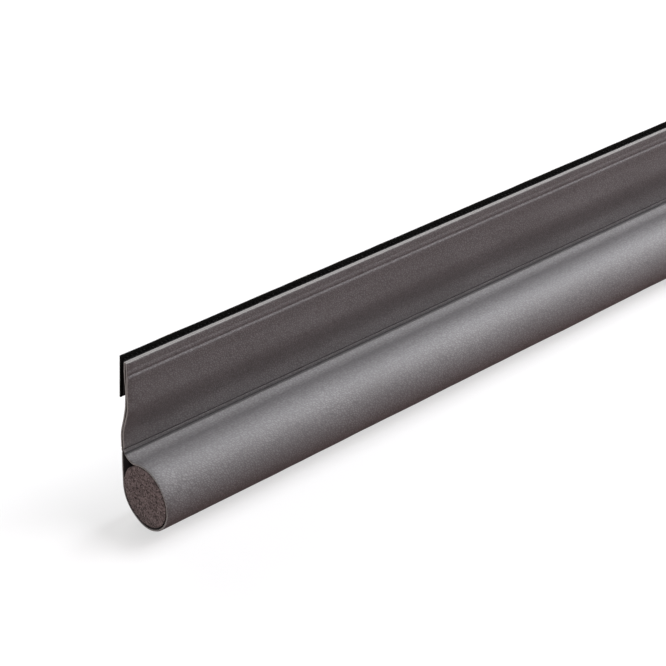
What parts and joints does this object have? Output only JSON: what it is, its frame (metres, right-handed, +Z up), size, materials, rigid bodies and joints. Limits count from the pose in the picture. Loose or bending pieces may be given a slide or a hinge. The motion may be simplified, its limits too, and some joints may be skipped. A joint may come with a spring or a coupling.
{
  "type": "door sweep",
  "caption": "Stick-on door bottom sweep: a leathercloth flap and round foam-filled sleeve on hook-and-loop tape, sealing the gap under a door.",
  "frame": {"origin": "centre of the adhesive layer's back face, the face that is stuck to the door: middle of the length, middle of the tape's height", "axes": "+X along the length, to the right as seen from the front; +Y out of the back of the sweep into the door; +Z up"},
  "size_m": [0.93, 0.0265, 0.0672],
  "materials": {
    "leathercloth": "grey imitation leather, fine grain, soft satin sheen",
    "tape": "black woven nylon hook-and-loop tape, matt",
    "adhesive": "translucent pressure-sensitive adhesive film",
    "foam": "brown-grey closed-cell foam with visible cells, matt"
  },
  "bodies": {
    "door_side": {"adhesive_layer": "adhesive", "hook_tape": "tape"},
    "flap": {"loop_tape": "tape", "flap_back_skin": "leathercloth", "flap_front_skin": "leathercloth"},
    "sleeve": {"sleeve_skin": "leathercloth"},
    "core": {"foam_rod": "foam"}
  },
  "joints": [
    {"name": "hook_release", "type": "slide", "parent": "door_side", "child": "flap", "axis": [0, -1, 0], "range_m": [0, 0.04]},
    {"name": "tube_swing", "type": "hinge", "parent": "flap", "child": "sleeve", "pos_m": [0, -0.00125, -0.0298], "axis": [-1, 0, 0], "range_deg": [0, 80], "stiffness_Nm_per_rad": 0.02},
    {"name": "core_slide", "type": "slide", "parent": "sleeve", "child": "core", "axis": [1, 0, 0], "range_m": [0, 0.95]}
  ]
}
